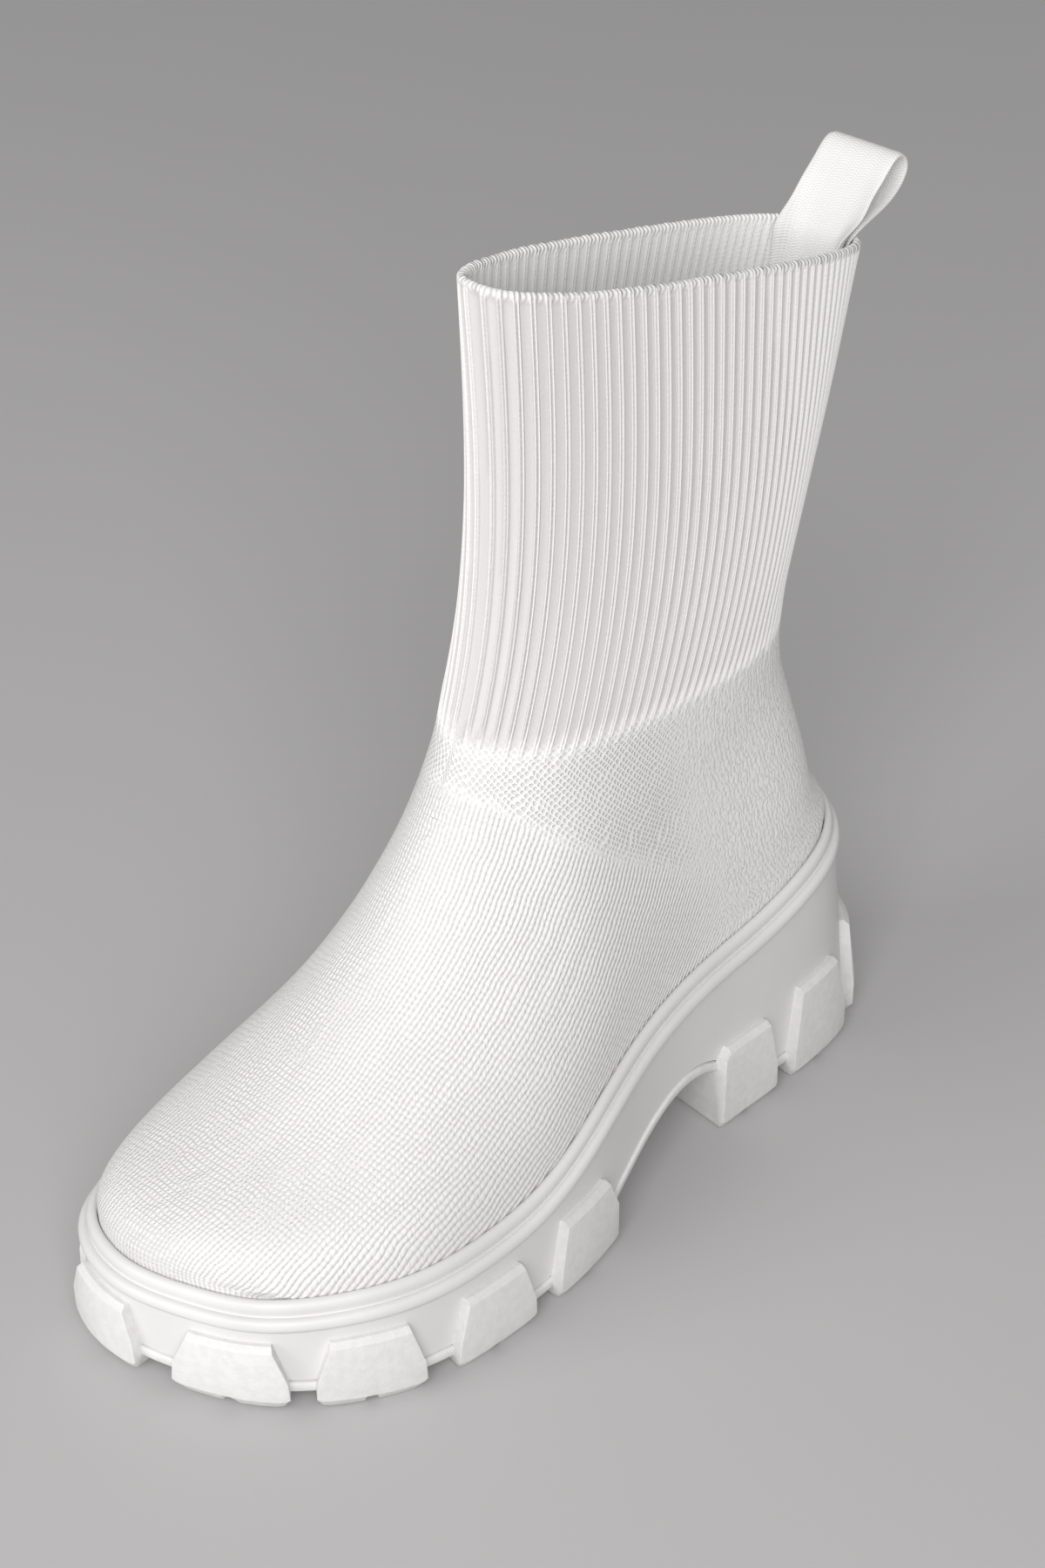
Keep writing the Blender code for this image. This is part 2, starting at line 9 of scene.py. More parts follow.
import bmesh
import bpy
import numpy as np
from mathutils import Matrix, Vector


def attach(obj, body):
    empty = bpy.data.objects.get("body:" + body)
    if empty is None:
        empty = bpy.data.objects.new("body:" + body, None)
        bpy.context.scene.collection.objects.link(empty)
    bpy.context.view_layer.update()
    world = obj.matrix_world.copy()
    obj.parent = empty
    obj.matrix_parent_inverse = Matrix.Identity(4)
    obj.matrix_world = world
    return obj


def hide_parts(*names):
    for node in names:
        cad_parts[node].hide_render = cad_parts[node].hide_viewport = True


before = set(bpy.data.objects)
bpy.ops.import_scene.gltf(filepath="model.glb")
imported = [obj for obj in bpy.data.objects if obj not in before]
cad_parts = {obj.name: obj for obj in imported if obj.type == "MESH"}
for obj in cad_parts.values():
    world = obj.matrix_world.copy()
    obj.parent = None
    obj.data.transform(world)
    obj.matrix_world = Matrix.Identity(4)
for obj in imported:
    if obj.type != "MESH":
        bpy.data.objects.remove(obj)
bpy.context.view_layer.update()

MM = 0.001

# Driving sizes of the part, in millimetres.
SOLE_LENGTH = 280.0
LUG_REACH = 4.0
FIT_GAP = 0.3
KNIT_WALL = 2.0
WELT_WIDTH = 4.0
WELT_HEIGHT = 8.0
WELT_SEAT = 6.0
PLATE_THICK = 3.0
PLATE_LIP = 0.8
LUG_TOP_SHARE = 0.72
LUG_INNER_SHARE = 0.62
NOTCH_HEIGHT = 3.0
HEEL_FLARE = 9.0
HEEL_FLARE_START = 215.0
HEEL_NARROWING = 0.05
STRAP_WIDTH = 24.0
STRAP_THICK = 1.4
STRAP_TAIL_ROWS = 5
STRAP_SLACK = 0.45
STRAP_CURL = 0.92
SIDE_ORIGIN = -1.5
STATION_ORIGIN = 140.7
TOE_SPRING = 2.5
TOE_SPRING_END = 60.0

# Steps in a line that other lines are measured from, and rows that are evened.
FINE_STEPS = 900
FINE_ROWS = 78
EVEN_ROUNDS = 4

# The side wall's outline at its foot, from the toe tip round the outer side.
WALL_OUTLINE = (
    # name, side, station
    ("toe_tip", -15.0, 3.5),
    ("toe_outer", 5.5, 7.6),
    ("toe_outer_corner", 21.5, 14.8),
    ("ball_outer_front", 39.5, 34.5),
    ("ball_outer_middle", 48.0, 53.0),
    ("ball_outer", 51.0, 82.0),
    ("ball_outer_back", 49.0, 111.0),
    ("waist_outer", 39.5, 150.0),
    ("heel_outer_front", 34.5, 190.0),
    ("heel_outer", 33.5, 228.0),
    ("heel_outer_corner", 24.0, 258.0),
    ("heel_back", 0.0, 271.0),
    ("heel_inner_corner", -24.0, 258.0),
    ("heel_inner", -33.5, 228.0),
    ("heel_inner_front", -34.0, 190.0),
    ("waist_inner", -36.5, 150.0),
    ("ball_inner_back", -47.0, 112.0),
    ("ball_inner", -54.0, 74.0),
    ("toe_inner", -51.5, 42.0),
    ("toe_inner_corner", -39.5, 12.5),
)

# Side view of the sole. Feather is the welt's top, where the knit comes out.
SOLE_PROFILE = (
    # station, feather height, wall foot height
    (0.0, 34.0, 11.0),
    (30.0, 34.5, 9.0),
    (73.0, 35.5, 8.0),
    (94.0, 37.5, 8.0),
    (112.0, 42.5, 9.0),
    (130.0, 48.5, 14.0),
    (148.0, 53.5, 22.0),
    (170.0, 58.0, 28.5),
    (188.0, 60.5, 23.5),
    (205.0, 63.0, 12.0),
    (225.0, 68.0, 9.5),
    (250.0, 73.5, 9.5),
    (280.0, 77.0, 9.5),
)

# Lugs round the sole. Along is the way from the toe tip along that side.
LUGS = (
    # name, side sign, along, foot width, top height, depth under the sole
    ("front_inner", -1, 7.0, 29.0, 23.0, 18.0),
    ("toe_inner", -1, 49.0, 29.0, 23.0, 20.0),
    ("ball_inner", -1, 89.0, 29.0, 22.5, 26.0),
    ("waist_inner", -1, 129.0, 28.0, 25.0, 26.0),
    ("heel_front_inner", -1, 216.0, 25.0, 28.0, 26.0),
    ("heel_inner", -1, 250.0, 28.0, 31.0, 24.0),
    ("heel_back_inner", -1, 287.0, 27.0, 33.0, 13.0),
    ("front_outer", 1, 34.0, 31.0, 22.5, 18.0),
    ("toe_outer", 1, 70.5, 29.0, 22.5, 22.0),
    ("ball_outer", 1, 108.5, 28.0, 22.5, 26.0),
    ("waist_outer", 1, 147.0, 29.0, 25.0, 26.0),
    ("heel_front_outer", 1, 233.0, 25.0, 28.0, 26.0),
    ("heel_outer", 1, 267.5, 28.0, 31.0, 24.0),
    ("heel_back_outer", 1, 304.0, 27.0, 33.0, 13.0),
)

# Rings of the knit upper, from the sole up to the collar. Body is the plan of the
# foot or leg at that ring. Its front closes as the vamp's arch and as an oval.
KNIT_RINGS = (
    # front station, front height, back station, back height, ridge side,
    # outer half width, inner half width, middle side, widest station,
    # front bluntness, back bluntness, sole share, arch share
    (8.3, 28.4, 259.7, 69.0, -15.0, 0.0, 0.0, 0.0, 0.0, 0.0, 0.0, 1.0, 0.0),
    (8.3, 33.6, 259.7, 74.0, -15.0, 0.0, 0.0, 0.0, 0.0, 0.0, 0.0, 1.0, 0.0),
    (8.3, 38.0, 259.7, 78.0, -15.0, 0.0, 0.0, 0.0, 0.0, 0.0, 0.0, 1.0, 0.0),
    (11.4, 44.6, 252.5, 85.6, -13.0, 42.0, 38.0, -3.0, 90.0, 2.0, 2.5, 1.0, 1.0),
    (21.0, 50.0, 248.7, 94.8, -10.5, 37.0, 31.5, -4.0, 115.0, 2.0, 2.5, 0.96, 1.0),
    (36.0, 56.6, 246.1, 104.8, -8.5, 33.0, 28.0, -5.0, 140.0, 2.0, 2.5, 0.88, 1.0),
    (54.1, 66.4, 243.1, 114.2, -7.0, 31.0, 27.0, -5.0, 158.0, 2.0, 2.5, 0.76, 1.0),
    (72.6, 79.2, 239.8, 124.4, -6.0, 30.0, 28.0, -4.5, 170.0, 2.0, 2.5, 0.6, 0.95),
    (88.9, 93.6, 236.4, 134.3, -5.0, 29.5, 28.5, -3.5, 177.0, 2.0, 2.5, 0.42, 0.85),
    (100.8, 109.1, 234.4, 145.9, -4.0, 29.0, 28.5, -2.0, 182.0, 2.0, 2.5, 0.26, 0.7),
    (110.3, 126.1, 235.3, 159.2, -3.0, 28.5, 28.0, -1.0, 186.0, 2.0, 2.5, 0.12, 0.5),
    (118.7, 146.1, 239.3, 173.2, -2.0, 28.0, 28.0, 0.0, 188.0, 2.1, 2.5, 0.04, 0.3),
    (125.3, 172.7, 246.0, 189.7, -1.0, 27.0, 27.0, 0.0, 190.0, 2.2, 2.6, 0.0, 0.1),
    (127.8, 204.0, 253.0, 207.3, 0.0, 25.0, 25.0, 0.0, 192.0, 2.3, 2.8, 0.0, 0.0),
    (127.4, 239.0, 258.9, 226.3, 0.0, 22.5, 22.5, 0.0, 194.0, 2.4, 3.2, 0.0, 0.0),
    (124.6, 275.0, 265.2, 245.6, 0.0, 20.0, 20.0, 0.0, 196.0, 2.5, 3.6, 0.0, 0.0),
)
SOLE_RINGS = 3
RING_EVENNESS = 0.5
SAG_POWER = 3

# Behind this station a ring's sides follow the heel, fitted to the ring's own back.
HEEL_START = 200.0

# The vamp's arch starts this far over the feather line. Behind the shaft's front
# the ridge is carried on, ever steeper, so that the arch opens into the leg.
ARCH_FOOT = 4.0
SHAFT_FRONT = 122.5
RIDGE_SLOPE = 4.5
RIDGE_BEND = 0.45

# Roundness of the vamp's section: 2 is an oval, more is boxier.
ARCH_POWER = (
    # station, power of the outer side, power of the inner side
    (20.0, 2.3, 2.25),
    (60.0, 2.1, 1.9),
    (100.0, 1.8, 1.75),
    (130.0, 1.7, 1.7),
)

# The pull loop seen from the side, from the collar's inner back edge round.
LOOP_PATH = (
    # station behind the collar edge, height over it, share of the collar's curve
    (2.0, 3.0, 0.85),
    (7.0, 5.4, 0.55),
    (13.0, 8.2, 0.3),
    (17.6, 12.2, 0.16),
    (19.3, 16.4, 0.1),
    (18.2, 19.4, 0.1),
    (15.8, 20.4, 0.1),
    (13.2, 19.4, 0.1),
    (9.4, 15.6, 0.16),
    (5.4, 10.8, 0.4),
    (1.8, 5.6, 0.7),
)

# Looks of the knit, in millimetres.
RIBS_PER_SIDE = 44
RIB_RELIEF = 0.85
RIB_PITCH = 5.0
RIB_TIGHTENING = 1.8
RIB_TIGHTENS = (0.45, 0.95)
RIB_END_HEIGHT = 147.5
RIB_END_FADE = 6.5
RIM_BEAD = 1.8
WALE_PITCH = 1.35
COURSE_PITCH = 1.7
EYELET_PITCH = 2.1
STITCH_PITCH = 1.5

# How deep each kind of knit is.
WALE_DEPTH = 0.42
EYELET_DEPTH = 0.3
JERSEY_DEPTH = 0.3
STITCH_DEPTH = 0.22
RIM_STITCH_DEPTH = 0.35
THREAD_DEPTH = 0.09

# Where a kind of knit starts and is full: stations, sides and heights.
HEEL_KNIT = (165, 200)
INNER_EYELETS = (12, -12)
TOE_EYELET_STATIONS = (75, 20)
TOE_EYELET_HEIGHTS = (42, 56)
BORDER_FADE = 4

# Dark and light of each surface. On the knit and the webbing the dark is painted shade in the
# grooves, and the knit's inside is painted lighter.
KNIT_COLOURS_WITH_PAINTED_SHADE = ((0.66, 0.648, 0.64), (0.855, 0.848, 0.842))
INSIDE_COLOURS_PAINTED_LIGHTER = ((0.92, 0.913, 0.908), (0.975, 0.97, 0.965))
WEBBING_COLOURS_WITH_PAINTED_SHADE = ((0.75, 0.74, 0.73), (0.88, 0.875, 0.87))
FOOTBED_COLOURS = ((0.70, 0.68, 0.65), (0.82, 0.80, 0.77))
SOLE_COLOURS = ((0.73, 0.725, 0.718), (0.76, 0.755, 0.75))
TREAD_COLOURS = ((0.745, 0.74, 0.735), (0.795, 0.79, 0.785))
FLOOR_COLOURS = ((0.515, 0.51, 0.513), (0.535, 0.53, 0.533))

SIDE_STEPS = 190
LOOP_COLUMNS = 25
LOOP_ROWS = 150

# One rib of the shaft: a flat valley and a double ridge.
RIB_PROFILE = (
    # share of the pitch, rise
    (0.0, 0.0),
    (0.44, 0.0),
    (0.55, 1.0),
    (0.68, 0.3),
    (0.81, 1.0),
    (0.92, 0.0),
)

# Where the eyelet band under the ribs ends and the vamp begins.
EYELET_BORDER = (
    # station, height
    (100.0, 144.0),
    (118.0, 134.0),
    (130.0, 124.0),
    (150.0, 110.0),
    (165.0, 101.0),
    (185.0, 86.0),
    (260.0, 60.0),
)


def spline(knots, values, closed=False):
    """A smooth curve through the rows of values, with steady curvature."""
    knots = np.asarray(knots, float)
    values = np.asarray(values, float).reshape(len(knots), -1)
    gap = np.diff(knots)
    slope = np.diff(values, axis=0) / gap[:, None]
    last = len(knots) - 1
    system = np.eye(last + 1)
    pull = np.zeros_like(values)
    for i in range(1, last):
        system[i, i - 1 : i + 2] = gap[i - 1], 2 * (gap[i - 1] + gap[i]), gap[i]
        pull[i] = 6 * (slope[i] - slope[i - 1])
    if closed:
        system[0, last] = -1
        system[last] = 0
        system[last, [0, 1, last - 1]] = 2 * (gap[-1] + gap[0]), gap[0], gap[-1]
        pull[last] = 6 * (slope[0] - slope[-1])
    bend = np.linalg.solve(system, pull)

    def at(where):
        where = np.atleast_1d(np.asarray(where, float))
        i = np.clip(np.searchsorted(knots, where, side="right") - 1, 0, last - 1)
        h = gap[i][:, None]
        a = (knots[i + 1] - where)[:, None] / h
        b = 1 - a
        return (
            a * values[i]
            + b * values[i + 1]
            + ((a**3 - a) * bend[i] + (b**3 - b) * bend[i + 1]) * h * h / 6
        )

    return at


def ramp(value, start, end):
    """0 before start, 1 after end, and smooth between them."""
    t = np.clip((value - start) / (end - start), 0, 1)
    return t * t * (3 - 2 * t)


def way_along(points):
    """The distance from the first point to each point, along the line."""
    steps = np.linalg.norm(np.diff(points, axis=0), axis=1)
    return np.concatenate([[0], np.cumsum(steps)])


def at_shares(points, shares):
    """Points of a line at shares of its length."""
    way = way_along(points)
    wanted = np.asarray(shares) * way[-1]
    return np.column_stack([np.interp(wanted, way, column) for column in points.T])


def dense_sides():
    """The wall's outline as two fine lines from toe tip to heel back: outer, inner."""
    table = np.array([row[1:] for row in WALL_OUTLINE + WALL_OUTLINE[:1]])
    knots = way_along(table)
    curve = spline(knots, table, closed=True)
    names = [row[0] for row in WALL_OUTLINE]
    back = knots[names.index("heel_back")]
    outer = curve(np.linspace(0, back, FINE_STEPS))
    inner = curve(np.linspace(knots[-1], back, FINE_STEPS))
    return outer, inner


def outward(loop):
    """Unit normals of a closed loop that runs from the toe round the outer side."""
    along = np.roll(loop, -1, axis=0) - np.roll(loop, 1, axis=0)
    along /= np.linalg.norm(along, axis=1)[:, None]
    return np.column_stack([along[:, 1], -along[:, 0]])


def drawn_in(points, rise):
    """Sole points moved in as the wall rises, because the heel is flared."""
    side, station = points.T
    flare = rise * ramp(station, HEEL_FLARE_START, SOLE_LENGTH)
    return np.column_stack([side * (1 - HEEL_NARROWING * flare), station - HEEL_FLARE * flare])


def paired(outer, inner, shares):
    """A loop whose outer and inner points lie at the same stations."""
    outer = at_shares(outer, shares)
    across = np.interp(outer[:, 1], inner[:, 1], inner[:, 0])
    inner = np.column_stack([across, outer[:, 1]])
    return np.vstack([outer, inner[-2:0:-1]])


def wall_loop(shares, offset=0.0, rise=0.0):
    """The wall's outline at a share of its rise, moved outward by offset."""
    loop = paired(*dense_sides(), shares)
    return drawn_in(loop + outward(loop) * offset, rise)


PROFILE_STATIONS = [row[0] for row in SOLE_PROFILE]
feather_height = spline(PROFILE_STATIONS, [row[1] for row in SOLE_PROFILE])
foot_height = spline(PROFILE_STATIONS, [row[2] for row in SOLE_PROFILE])
FEATHER_FRONT = float(feather_height(KNIT_RINGS[0][0])[0, 0])
EVEN_SHARES = np.linspace(0, 1, SIDE_STEPS + 1)


def rim_foot(station):
    return feather_height(station) - WELT_HEIGHT


def toe_lift(station):
    """How far the toe end of the tread stands off the floor."""
    return TOE_SPRING * (1 - ramp(np.asarray(station), 0, TOE_SPRING_END)) ** 1.5


def placed(points):
    """Points of side, station and height, in metres in the boot's frame."""
    return (np.asarray(points, float) - (SIDE_ORIGIN, STATION_ORIGIN, 0)) * MM


def raised(loop, height):
    """A loop of side and station, with the height of each station."""
    return np.column_stack([loop, np.ravel(height(loop[:, 1]))])


def cap_faces(first, count, size):
    """Faces that close a loop by strips from its outer side to its inner side."""
    faces = [(first, first + 1, first + size - 1)]
    for i in range(1, count - 1):
        faces.append(
            (first + i, first + i + 1, first + size - i - 1, first + size - i)
        )
    faces.append((first + count - 1, first + count, first + count + 1))
    return faces


def ring_faces(rows, size, closed_rows=False):
    """Quads that join each loop to the next."""
    faces = []
    for row in range(rows if closed_rows else rows - 1):
        this = row * size
        above = (row + 1) % rows * size
        for i in range(size):
            j = (i + 1) % size
            faces.append((this + i, this + j, above + j, above + i))
    return faces


def mesh_piece(name, points, faces, marks=(), smooth_angle=35):
    """A piece from points in table millimetres, with named values on its points."""
    mesh = bpy.data.meshes.new(name)
    mesh.from_pydata(placed(points).tolist(), [], faces)
    for mark, values in dict(marks).items():
        layer = mesh.attributes.new(mark, "FLOAT", "POINT")
        layer.data.foreach_set("value", np.ravel(values).astype(np.float32))
    shape = bmesh.new()
    shape.from_mesh(mesh)
    bmesh.ops.recalc_face_normals(shape, faces=shape.faces)
    shape.to_mesh(mesh)
    shape.free()
    mesh.shade_smooth()
    mesh.set_sharp_from_angle(angle=math.radians(smooth_angle))
    piece = bpy.data.objects.new(name, mesh)
    bpy.context.scene.collection.objects.link(piece)
    return piece


def dress(piece, node, material):
    """The piece stands for a CAD node, rides on the boot and takes its material."""
    piece.data.materials.append(material)
    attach(piece, "root")
    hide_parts(node)
    return piece


class Graph:
    """Short calls for the nodes of one material."""

    def __init__(self, name, roughness, sheen=0.0):
        self.material = bpy.data.materials.new(name)
        self.material.use_nodes = True
        self.tree = self.material.node_tree
        self.shader = self.tree.nodes["Principled BSDF"]
        self.shader.inputs["Roughness"].default_value = roughness
        self.shader.inputs["Sheen Weight"].default_value = sheen
        self.place = self.node("ShaderNodeTexCoord").outputs["Object"]

    def node(self, kind, **settings):
        node = self.tree.nodes.new(kind)
        for key, value in settings.items():
            setattr(node, key, value)
        return node

    def feed(self, socket, value):
        if isinstance(value, bpy.types.NodeSocket):
            self.tree.links.new(value, socket)
        else:
            socket.default_value = value

    def math(self, operation, a, b=0.0, c=0.0):
        node = self.node("ShaderNodeMath", operation=operation)
        for socket, value in zip(node.inputs, (a, b, c)):
            self.feed(socket, value)
        return node.outputs[0]

    def mark(self, name):
        return self.node("ShaderNodeAttribute", attribute_name=name).outputs["Fac"]

    def noise(self, scale, detail=2.0, roughness=0.5):
        node = self.node("ShaderNodeTexNoise")
        self.feed(node.inputs["Vector"], self.place)
        node.inputs["Scale"].default_value = scale
        node.inputs["Detail"].default_value = detail
        node.inputs["Roughness"].default_value = roughness
        return node.outputs["Fac"]

    def cells(self, scale):
        node = self.node("ShaderNodeTexVoronoi")
        self.feed(node.inputs["Vector"], self.place)
        node.inputs["Scale"].default_value = scale
        return node.outputs["Distance"]

    def steps(self, value, low, high, start=0.0, end=1.0):
        """A value that goes smoothly from start at low to end at high."""
        node = self.node("ShaderNodeMapRange", interpolation_type="SMOOTHSTEP")
        for socket, number in zip(node.inputs, (value, low, high, start, end)):
            self.feed(socket, number)
        return node.outputs[0]

    def humps(self, value):
        """One rounded hump for each whole step of the value, sharp between them."""
        return self.math("ABSOLUTE", self.math("SINE", self.math("MULTIPLY", value, math.pi)))

    def eyelets(self, across, along, pitch):
        """0 in the middle of staggered round holes, and 1 between them."""
        waves = []
        for sign in (1.0, -1.0):
            slant = self.math("MULTIPLY_ADD", along, sign, across)
            waves.append(self.math("COSINE", self.math("MULTIPLY", slant, math.pi / pitch)))
        depth = self.math("ABSOLUTE", self.math("MULTIPLY", *waves))
        return self.steps(depth, 0.25, 0.9, 1.0, 0.0)

    def blend(self, share, a, b):
        node = self.node("ShaderNodeMix", data_type="FLOAT")
        for name, value in (("Factor", share), ("A", a), ("B", b)):
            self.feed(node.inputs[name], value)
        return node.outputs["Result"]

    def between(self, share, dark, light):
        """A colour between two, each a colour or another node's colour."""
        node = self.node("ShaderNodeMix", data_type="RGBA")
        self.feed(node.inputs["Factor"], share)
        for name, value in (("A", dark), ("B", light)):
            self.feed(node.inputs[name], (*value, 1) if isinstance(value, tuple) else value)
        return node.outputs["Result"]

    def colour(self, share, dark, light):
        self.feed(self.shader.inputs["Base Color"], self.between(share, dark, light))

    def finish(self, height):
        """The material, with bump by a height in millimetres."""
        node = self.node("ShaderNodeBump")
        node.inputs["Distance"].default_value = MM
        self.feed(node.inputs["Height"], height)
        self.feed(self.shader.inputs["Normal"], node.outputs["Normal"])
        return self.material


def knit_material():
    """Ribs, eyelets, wales and plain knit, each in its own zone of the upper, with painted shade in
    their grooves and a painted lighter inside.
    """
    g = Graph("knit_white", 0.88, sheen=0.15)
    waver = g.math("MULTIPLY", g.math("SUBTRACT", g.noise(75.0, 3.0), 0.5), 1.7)
    wales = g.humps(g.math("ADD", g.mark("wale"), waver))
    courses = g.humps(g.math("ADD", g.mark("course"), g.noise(200.0)))
    threads = g.noise(1300.0, 3.0, 0.6)
    wale_rise = g.math("MULTIPLY_ADD", courses, 0.28, g.math("MULTIPLY", wales, 0.72))
    holes = g.eyelets(g.mark("wale"), g.mark("course"), 1.0)
    opened = g.math("MINIMUM", wale_rise, g.math("MULTIPLY_ADD", holes, 0.7, 0.3))
    drift = g.math("MULTIPLY", g.math("SUBTRACT", g.noise(150.0, 2.0), 0.5), 3.2)
    round_way = g.math("ADD", g.mark("round_way"), drift)
    up_way = g.math("ADD", g.mark("up_way"), drift)
    eyelets = g.eyelets(round_way, up_way, EYELET_PITCH)
    ridge = g.steps(g.mark("ridge"), 0.15, 0.85)
    stitches = g.humps(g.math("MULTIPLY", up_way, 1 / STITCH_PITCH))
    knots = g.math("MULTIPLY", ridge, g.math("MULTIPLY_ADD", stitches, 0.3, 0.7))
    chain = g.humps(g.math("MULTIPLY", g.mark("round_way"), 1 / STITCH_PITCH))
    curls = g.math("MULTIPLY_ADD", g.noise(420.0, 2.0), 2.2, g.math("MULTIPLY", round_way, 0.6))
    jersey = g.math("MULTIPLY_ADD", g.humps(curls), 0.5, g.math("MULTIPLY", g.cells(620.0), 0.7))
    rise = g.blend(g.mark("open_zone"), wale_rise, opened)
    depth = WALE_DEPTH
    for zone, pattern, zone_depth in (
        ("eyelet_zone", eyelets, EYELET_DEPTH),
        ("plain_zone", jersey, JERSEY_DEPTH),
        ("rib_zone", knots, STITCH_DEPTH),
        ("rim_zone", chain, RIM_STITCH_DEPTH),
    ):
        rise = g.blend(g.mark(zone), rise, pattern)
        depth = g.blend(g.mark(zone), depth, zone_depth)
    height = g.math("MULTIPLY", rise, depth)
    height = g.math("MULTIPLY_ADD", threads, THREAD_DEPTH, height)
    # Painted shade: the knit is coloured darker in the grooves between wales, in the eyelet holes
    # and in the rib valleys. The fine threads noise adds random fibre tone.
    lightness_with_painted_shade = g.math("MULTIPLY_ADD", ridge, 0.3, g.math("MULTIPLY", rise, 0.57))
    lightness_with_painted_shade = g.math("MULTIPLY_ADD", threads, 0.2, lightness_with_painted_shade)
    outside = g.between(g.steps(lightness_with_painted_shade, 0.15, 0.95), *KNIT_COLOURS_WITH_PAINTED_SHADE)
    # Painted light: the inner face of the shaft takes a lighter copy of the knit colours, standing
    # in for light that reaches inside.
    inside = g.between(g.steps(lightness_with_painted_shade, 0.15, 0.95), *INSIDE_COLOURS_PAINTED_LIGHTER)
    g.feed(g.shader.inputs["Base Color"], g.between(g.mark("inside"), outside, inside))
    return g.finish(height)


def webbing_material():
    """Woven tape: fine crossing threads."""
    g = Graph("webbing_white", 0.7, sheen=0.1)
    across = g.mark("across")
    along = g.mark("along")
    slope = g.math("ADD", along, g.math("MULTIPLY", g.humps(g.math("MULTIPLY", across, 0.25)), 0.8))
    weft = g.humps(g.math("MULTIPLY", slope, 1.25))
    warp = g.humps(g.math("MULTIPLY", across, 1.1))
    height = g.math("MULTIPLY_ADD", weft, 0.09, g.math("MULTIPLY", warp, 0.05))
    height = g.math("ADD", height, g.math("MULTIPLY", g.noise(2200.0, 2.0), 0.03))
    # Painted shade: the tape is coloured darker where the weave is low, between the threads.
    g.colour(g.steps(height, 0.02, 0.12), *WEBBING_COLOURS_WITH_PAINTED_SHADE)
    return g.finish(height)


def footbed_material():
    """Brushed lining cloth."""
    g = Graph("footbed_white", 0.92, sheen=0.2)
    height = g.math("MULTIPLY", g.noise(1400.0, 3.0, 0.6), 0.15)
    g.colour(g.steps(height, 0.04, 0.11), *FOOTBED_COLOURS)
    return g.finish(height)


def sole_material():
    """Smooth satin foam, with the faint unevenness of a moulded wall."""
    g = Graph("sole_white", 0.42)
    g.colour(g.steps(g.noise(35.0, 3.0), 0.3, 0.7), *SOLE_COLOURS)
    height = g.math("MULTIPLY", g.noise(60.0, 2.0), 0.12)
    height = g.math("MULTIPLY_ADD", g.noise(2400.0, 2.0), 0.006, height)
    g.feed(g.shader.inputs["Roughness"], g.steps(g.noise(90.0, 3.0), 0.3, 0.7, 0.38, 0.5))
    return g.finish(height)


def tread_material():
    """White rubber with a blasted grain."""
    g = Graph("tread_white", 0.62)
    grain = g.noise(1300.0, 3.0, 0.6)
    g.colour(g.steps(g.noise(400.0, 3.0), 0.3, 0.7), *TREAD_COLOURS)
    return g.finish(g.math("MULTIPLY", grain, 0.13))


def ridge_line():
    """Station and height of the boot's front line, up to the shaft and past it."""
    front = np.array([row[:2] for row in KNIT_RINGS[SOLE_RINGS - 1 :]])
    way = way_along(front)
    line = spline(way, front)(np.linspace(0, way[-1], 2 * FINE_STEPS))
    line = line[: np.argmax(line[:, 0] > SHAFT_FRONT)]
    behind = np.arange(1.0, SOLE_LENGTH - SHAFT_FRONT)
    over = behind * (RIDGE_SLOPE + RIDGE_BEND * behind)
    return np.vstack([line, line[-1] + np.column_stack([behind, over])])


def closed_end(share, power):
    """1 where a shape is fully open, falling to 0 at its end like an oval."""
    return (1 - np.clip(share, 0, 1) ** power) ** (1 / power)


def arch(station, height, ridge, side):
    """How wide a side of the vamp is, from 1 over the sole to 0 on the ridge."""
    foot = np.ravel(feather_height(station)) + ARCH_FOOT
    top = np.interp(station, *ridge.T)
    stations, *powers = np.array(ARCH_POWER).T
    power = np.interp(station, stations, powers[side])
    return closed_end((height - foot) / np.maximum(top - foot, 1e-6), power)


def ring_height(row, station):
    """A ring's height: a straight line, but low rings sag to follow the sole."""
    front, low, back, high = row[:4]
    share = (station - front) / (back - front)
    start, end = np.ravel(feather_height([front, back]))
    sag = np.ravel(feather_height(station)) - start - share * (end - start)
    return low + share * (high - low) + sag * row[11] ** SAG_POWER


def sole_sides(station, back):
    """The wall's outer and inner side at some stations, its heel fitted to a ring's back."""
    base = wall_loop(np.linspace(0, 1, FINE_STEPS + 1), -WELT_WIDTH - FIT_GAP, 1.0)
    outer = base[: FINE_STEPS + 1]
    inner = np.vstack([base[:1], base[: FINE_STEPS - 1 : -1]])
    stretch = (outer[-1, 1] - HEEL_START) / (back - HEEL_START)
    behind = np.maximum(station - HEEL_START, 0)
    on_wall = station + behind * (stretch - 1)
    return [np.interp(on_wall, side[:, 1], side[:, 0]) for side in (outer, inner)]


def knit_ring(row, shares, ridge):
    """Side and station of one row of the ring table."""
    front, _, back, _, crest, outer, inner, middle, widest, *shape = row
    blunt_front, blunt_back, sole_share, arch_share = shape
    share = (1 - np.cos(np.linspace(0, math.pi, FINE_STEPS))) / 2
    station = front + share * (back - front)
    rear = closed_end((station - widest) / (back - widest), blunt_back)
    oval = closed_end((widest - station) / (widest - front), blunt_front)
    height = ring_height(row, station)
    halves = []
    for side, width in enumerate((outer, -inner)):
        vamp = arch(station, height, ridge, side)
        closing = vamp**arch_share * oval ** (1 - arch_share)
        foot = sole_sides(station, back)[side]
        body = sole_share * foot + (1 - sole_share) * (middle + width * rear)
        halves.append(np.column_stack([crest + (body - crest) * closing, station]))
    return paired(*halves, shares)


